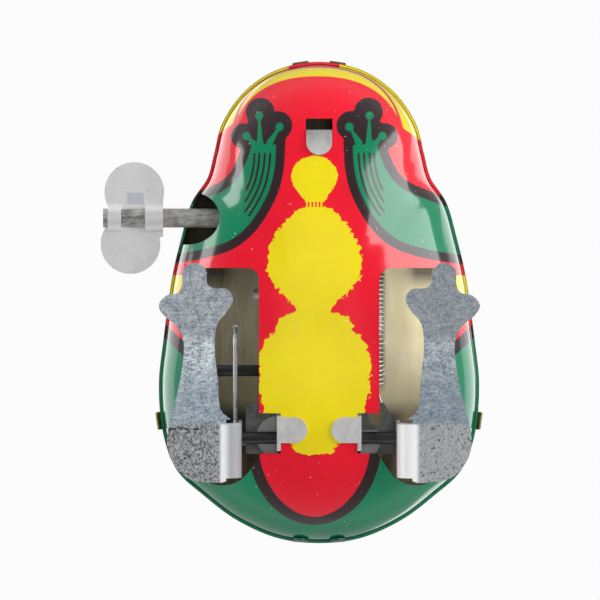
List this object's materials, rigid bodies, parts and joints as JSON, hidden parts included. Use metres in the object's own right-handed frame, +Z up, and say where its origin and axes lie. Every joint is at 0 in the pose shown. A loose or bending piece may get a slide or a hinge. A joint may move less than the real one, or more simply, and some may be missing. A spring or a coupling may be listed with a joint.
{
  "type": "wind-up hopping frog",
  "caption": "Printed tinplate wind-up hopping frog with a side key, gear motor, wire kick link, kick spring and flat metal feet on a cross axle.",
  "frame": {"origin": "middle of the bounding box in plan, at the height of the soles", "axes": "+Z up, -Y towards the snout, +Y towards the rump, X across, with the winding key on the -X side"},
  "size_m": [0.0604, 0.0762, 0.036],
  "materials": {
    "printed_tin": "gloss",
    "printed_tin_belly": "gloss",
    "plated_steel": "satin",
    "spring_steel": "satin",
    "bright_wire": "polished",
    "dull_steel": "satin",
    "gear_brass": "satin",
    "dark_steel": "satin",
    "galvanised_steel": "matt, mottled"
  },
  "bodies": {
    "feet": {"left_foot": "galvanised_steel", "right_foot": "galvanised_steel", "foot_axle": "dark_steel"},
    "casing": {"upper_shell": "printed_tin", "lower_shell": "printed_tin_belly", "frame_left_plate": "plated_steel", "frame_right_plate": "plated_steel", "front_pillar": "plated_steel", "top_pillar": "plated_steel", "rear_pillar": "plated_steel", "front_strap": "plated_steel", "mainspring": "spring_steel", "spring_post": "plated_steel", "kick_spring": "bright_wire"},
    "winder": {"winding_arbor": "dull_steel", "winding_key": "plated_steel", "ratchet_wheel": "dull_steel"},
    "great_wheel_body": {"great_wheel": "gear_brass", "click": "plated_steel", "click_rivet": "plated_steel"},
    "second_body": {"second_arbor": "bright_wire", "second_pinion": "gear_brass", "second_wheel": "gear_brass"},
    "crank": {"crank_arbor": "dull_steel", "crank_pinion": "gear_brass", "crank_disc": "plated_steel", "crank_pin": "dark_steel"},
    "link": {"kick_link": "bright_wire"}
  },
  "joints": [
    {"name": "body_pitch", "type": "hinge", "parent": "feet", "child": "casing", "pos_m": [0.00422, 0.02127, 0.00685], "axis": [-1, 0, 0], "range_deg": [0, 28], "deforming": ["kick_spring"]},
    {"name": "key_wind", "type": "hinge", "parent": "casing", "child": "winder", "pos_m": [-0.01578, -0.01318, 0.015], "axis": [1, 0, 0], "continuous": true},
    {"name": "great_wheel_spin", "type": "hinge", "parent": "casing", "child": "great_wheel_body", "pos_m": [0.00592, -0.01318, 0.015], "axis": [1, 0, 0], "continuous": true},
    {"name": "second_spin", "type": "hinge", "parent": "casing", "child": "second_body", "pos_m": [0.00592, -0.00119, 0.01534], "axis": [1, 0, 0], "continuous": true},
    {"name": "crank_spin", "type": "hinge", "parent": "casing", "child": "crank", "pos_m": [-0.00278, 0.00982, 0.012], "axis": [1, 0, 0], "continuous": true},
    {"name": "link_swing", "type": "hinge", "parent": "feet", "child": "link", "pos_m": [-0.00813, 0.02223, 0.01073], "axis": [-1, 0, 0], "range_deg": [0, 28]}
  ],
  "couplings": [
    {"joint": "second_spin", "follows": "great_wheel_spin", "ratio": -3},
    {"joint": "crank_spin", "follows": "great_wheel_spin", "ratio": 8.5},
    {"joint": "link_swing", "follows": "body_pitch", "ratio": 1}
  ]
}
